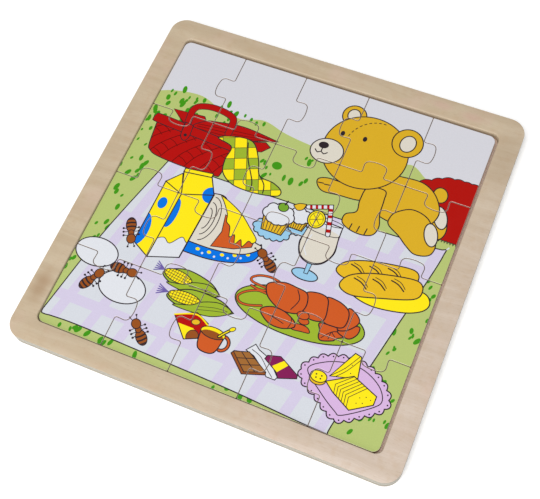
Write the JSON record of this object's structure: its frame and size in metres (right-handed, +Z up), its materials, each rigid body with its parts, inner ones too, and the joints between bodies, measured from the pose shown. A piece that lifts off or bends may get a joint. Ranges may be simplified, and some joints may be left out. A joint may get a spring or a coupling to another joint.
{
  "type": "tray jigsaw puzzle",
  "caption": "Square wooden tray puzzle: loose interlocking plywood pieces with a printed picnic picture, lying in a shallow rimmed tray.",
  "frame": {"origin": "middle of the tray's underside, on the surface that it rests on", "axes": "+X to the right of the picture, +Y to its top edge, +Z up out of the tray"},
  "size_m": [0.3, 0.3, 0.011],
  "materials": {
    "rim_wood": "satin",
    "base_board": "matte",
    "piece_plywood": "matte",
    "printed_paper": "semi-gloss varnish"
  },
  "bodies": {
    "tray": {"tray_base": "base_board", "tray_rim": "rim_wood"},
    "loose_a1": {"piece_a1": "piece_plywood", "picture_a1": "printed_paper"},
    "loose_a2": {"piece_a2": "piece_plywood", "picture_a2": "printed_paper"},
    "loose_a3": {"piece_a3": "piece_plywood", "picture_a3": "printed_paper"},
    "loose_a4": {"piece_a4": "piece_plywood", "picture_a4": "printed_paper"},
    "loose_a5": {"piece_a5": "piece_plywood", "picture_a5": "printed_paper"},
    "loose_b1": {"piece_b1": "piece_plywood", "picture_b1": "printed_paper"},
    "loose_b2": {"piece_b2": "piece_plywood", "picture_b2": "printed_paper"},
    "loose_b3": {"piece_b3": "piece_plywood", "picture_b3": "printed_paper"},
    "loose_b4": {"piece_b4": "piece_plywood", "picture_b4": "printed_paper"},
    "loose_b5": {"piece_b5": "piece_plywood", "picture_b5": "printed_paper"},
    "loose_c1": {"piece_c1": "piece_plywood", "picture_c1": "printed_paper"},
    "loose_c2": {"piece_c2": "piece_plywood", "picture_c2": "printed_paper"},
    "loose_c3": {"piece_c3": "piece_plywood", "picture_c3": "printed_paper"},
    "loose_c4": {"piece_c4": "piece_plywood", "picture_c4": "printed_paper"},
    "loose_c5": {"piece_c5": "piece_plywood", "picture_c5": "printed_paper"},
    "loose_d1": {"piece_d1": "piece_plywood", "picture_d1": "printed_paper"},
    "loose_d2": {"piece_d2": "piece_plywood", "picture_d2": "printed_paper"},
    "loose_d3": {"piece_d3": "piece_plywood", "picture_d3": "printed_paper"},
    "loose_d4": {"piece_d4": "piece_plywood", "picture_d4": "printed_paper"},
    "loose_d5": {"piece_d5": "piece_plywood", "picture_d5": "printed_paper"}
  },
  "joints": [
    {"name": "lift_a1", "type": "slide", "parent": "tray", "child": "loose_a1", "axis": [0, 0, 1], "range_m": [0, 0.03]},
    {"name": "lift_a2", "type": "slide", "parent": "tray", "child": "loose_a2", "axis": [0, 0, 1], "range_m": [0, 0.03]},
    {"name": "lift_a3", "type": "slide", "parent": "tray", "child": "loose_a3", "axis": [0, 0, 1], "range_m": [0, 0.03]},
    {"name": "lift_a4", "type": "slide", "parent": "tray", "child": "loose_a4", "axis": [0, 0, 1], "range_m": [0, 0.03]},
    {"name": "lift_a5", "type": "slide", "parent": "tray", "child": "loose_a5", "axis": [0, 0, 1], "range_m": [0, 0.03]},
    {"name": "lift_b1", "type": "slide", "parent": "tray", "child": "loose_b1", "axis": [0, 0, 1], "range_m": [0, 0.03]},
    {"name": "lift_b2", "type": "slide", "parent": "tray", "child": "loose_b2", "axis": [0, 0, 1], "range_m": [0, 0.03]},
    {"name": "lift_b3", "type": "slide", "parent": "tray", "child": "loose_b3", "axis": [0, 0, 1], "range_m": [0, 0.03]},
    {"name": "lift_b4", "type": "slide", "parent": "tray", "child": "loose_b4", "axis": [0, 0, 1], "range_m": [0, 0.03]},
    {"name": "lift_b5", "type": "slide", "parent": "tray", "child": "loose_b5", "axis": [0, 0, 1], "range_m": [0, 0.03]},
    {"name": "lift_c1", "type": "slide", "parent": "tray", "child": "loose_c1", "axis": [0, 0, 1], "range_m": [0, 0.03]},
    {"name": "lift_c2", "type": "slide", "parent": "tray", "child": "loose_c2", "axis": [0, 0, 1], "range_m": [0, 0.03]},
    {"name": "lift_c3", "type": "slide", "parent": "tray", "child": "loose_c3", "axis": [0, 0, 1], "range_m": [0, 0.03]},
    {"name": "lift_c4", "type": "slide", "parent": "tray", "child": "loose_c4", "axis": [0, 0, 1], "range_m": [0, 0.03]},
    {"name": "lift_c5", "type": "slide", "parent": "tray", "child": "loose_c5", "axis": [0, 0, 1], "range_m": [0, 0.03]},
    {"name": "lift_d1", "type": "slide", "parent": "tray", "child": "loose_d1", "axis": [0, 0, 1], "range_m": [0, 0.03]},
    {"name": "lift_d2", "type": "slide", "parent": "tray", "child": "loose_d2", "axis": [0, 0, 1], "range_m": [0, 0.03]},
    {"name": "lift_d3", "type": "slide", "parent": "tray", "child": "loose_d3", "axis": [0, 0, 1], "range_m": [0, 0.03]},
    {"name": "lift_d4", "type": "slide", "parent": "tray", "child": "loose_d4", "axis": [0, 0, 1], "range_m": [0, 0.03]},
    {"name": "lift_d5", "type": "slide", "parent": "tray", "child": "loose_d5", "axis": [0, 0, 1], "range_m": [0, 0.03]}
  ]
}
